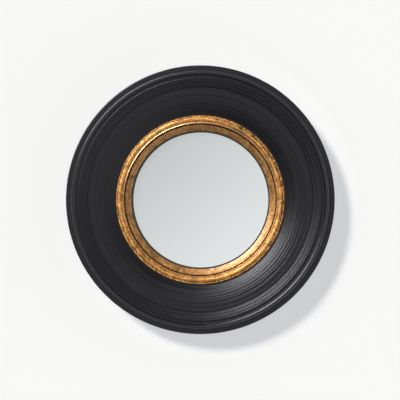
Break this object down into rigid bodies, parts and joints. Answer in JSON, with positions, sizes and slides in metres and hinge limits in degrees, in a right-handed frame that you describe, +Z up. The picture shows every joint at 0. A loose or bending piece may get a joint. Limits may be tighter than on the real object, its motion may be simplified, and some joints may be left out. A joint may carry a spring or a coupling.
{
  "type": "convex butlers mirror",
  "caption": "Round convex wall mirror: a deep black frame turned with beads and fine reeds, lined by distressed gilt rings around a domed glass, with ring hangers behind.",
  "frame": {"origin": "the point of the wall plane behind the middle of the glass: the plane that the four rubber bumpers rest on", "axes": "+Z up, -Y the way the glass faces (into the room), +Y into the wall, +X to the right as seen from the room"},
  "size_m": [0.4, 0.054, 0.4],
  "materials": {
    "black_paint": "turned wood under satin black paint, faintly violet, with fine lathe lines",
    "gilt": "turned wood under distressed gold leaf over a dark ground, rubbed through in spots",
    "silvered_glass": "clear domed glass, silvered behind",
    "black_rubber": "matt black",
    "foam": "closed-cell foam, dark grey",
    "fibreboard": "brown medium-density fibreboard",
    "zinc_steel": "bright zinc plate",
    "bumper_rubber": "soft dark rubber"
  },
  "bodies": {
    "mirror": {"frame_moulding": "black_paint", "backing_ring": "black_paint", "gilt_bead_ring": "gilt", "gilt_sight_ring": "gilt", "glass_gasket": "black_rubber", "convex_glass": "silvered_glass", "packing_ring": "foam", "retaining_ring": "fibreboard", "back_board": "fibreboard", "retainer_screws": "zinc_steel", "board_screws": "zinc_steel", "moulding_screws": "zinc_steel", "hanger_strap_left": "zinc_steel", "hanger_screw_left": "zinc_steel", "hanger_strap_right": "zinc_steel", "hanger_screw_right": "zinc_steel", "wall_bumper_top_left": "bumper_rubber", "wall_bumper_top_right": "bumper_rubber", "wall_bumper_bottom_left": "bumper_rubber", "wall_bumper_bottom_right": "bumper_rubber"},
    "ring_left": {"hanger_ring_left": "zinc_steel"},
    "ring_right": {"hanger_ring_right": "zinc_steel"}
  },
  "joints": [
    {"name": "hanger_swing_left", "type": "hinge", "parent": "mirror", "child": "ring_left", "pos_m": [-0.11, -0.00267, 0.095], "axis": [1, 0, 0], "range_deg": [0, 180]},
    {"name": "hanger_swing_right", "type": "hinge", "parent": "mirror", "child": "ring_right", "pos_m": [0.11, -0.00267, 0.095], "axis": [1, 0, 0], "range_deg": [0, 180]}
  ]
}
